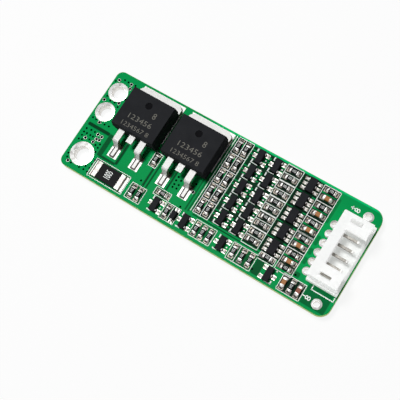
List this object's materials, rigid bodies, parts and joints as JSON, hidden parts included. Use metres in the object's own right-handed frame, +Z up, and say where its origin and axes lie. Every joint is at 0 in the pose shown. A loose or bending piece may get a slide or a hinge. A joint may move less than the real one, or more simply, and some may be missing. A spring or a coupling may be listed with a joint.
{
  "type": "battery management board",
  "caption": "Small green circuit board with two power transistors, a shunt, rows of monitor and balance parts, wire holes and a side-entry six-way white header.",
  "frame": {"origin": "middle of the footprint, on the surface that the pin tails rest on", "axes": "+X towards the connector end, +Y towards the far long edge, +Z up out of the parts' side"},
  "size_m": [0.06, 0.0224, 0.0072],
  "materials": {
    "green_laminate": "glossy green mask over copper and glass-epoxy",
    "tinned_copper": "bright tinned, slightly uneven",
    "solder": "smooth solder",
    "white_nylon": "moulded, satin",
    "tinned_contact": "tinned brass, satin",
    "tan_ceramic": "fired ceramic, satin",
    "brown_ceramic": "fired ceramic, satin",
    "resistor_glaze": "black glaze over ceramic",
    "tinned_cap": "bright tinned",
    "black_epoxy": "moulded epoxy, fine matt grain",
    "tinned_lead": "tinned, satin"
  },
  "bodies": {
    "root": {"balance_transistor_column_1_cases": "black_epoxy", "balance_transistor_column_1_leads": "tinned_lead", "balance_transistor_column_2_cases": "black_epoxy", "balance_transistor_column_2_leads": "tinned_lead", "bleed_resistor_bodies": "resistor_glaze", "bleed_resistor_end_caps": "tinned_cap", "board": "green_laminate", "cell_wire_rings": "tinned_copper", "charge_wire_rings": "tinned_copper", "chip_lands": "tinned_copper", "control_resistor_bodies": "resistor_glaze", "control_resistor_end_caps": "tinned_cap", "control_transistor_cases": "black_epoxy", "control_transistor_leads": "tinned_lead", "diode_case": "black_epoxy", "diode_leads": "tinned_lead", "filter_capacitor_bodies": "tan_ceramic", "filter_capacitor_end_caps": "tinned_cap", "gate_resistor_bodies": "resistor_glaze", "gate_resistor_end_caps": "tinned_cap", "header_housing": "white_nylon", "header_pin_1": "tinned_contact", "header_pin_2": "tinned_contact", "header_pin_3": "tinned_contact", "header_pin_4": "tinned_contact", "header_pin_5": "tinned_contact", "header_pin_6": "tinned_contact", "header_solder_joints": "solder", "monitor_chip_1_case": "black_epoxy", "monitor_chip_1_leads": "tinned_lead", "monitor_chip_2_case": "black_epoxy", "monitor_chip_2_leads": "tinned_lead", "monitor_chip_3_case": "black_epoxy", "monitor_chip_3_leads": "tinned_lead", "monitor_chip_4_case": "black_epoxy", "monitor_chip_4_leads": "tinned_lead", "monitor_chip_5_case": "black_epoxy", "monitor_chip_5_leads": "tinned_lead", "pack_wire_rings": "tinned_copper", "package_lands": "tinned_copper", "power_lands": "tinned_copper", "power_transistor_1_case": "black_epoxy", "power_transistor_1_drain_frame": "tinned_lead", "power_transistor_1_gate_lead": "tinned_lead", "power_transistor_1_source_lead": "tinned_lead", "power_transistor_2_case": "black_epoxy", "power_transistor_2_drain_frame": "tinned_lead", "power_transistor_2_gate_lead": "tinned_lead", "power_transistor_2_source_lead": "tinned_lead", "sense_wire_rings": "tinned_copper", "shunt_body": "resistor_glaze", "shunt_end_caps": "tinned_cap", "shunt_lands": "tinned_copper", "supply_resistor_bodies": "resistor_glaze", "supply_resistor_end_caps": "tinned_cap", "timing_capacitor_bodies": "brown_ceramic", "timing_capacitor_end_caps": "tinned_cap"}
  },
  "joints": []
}
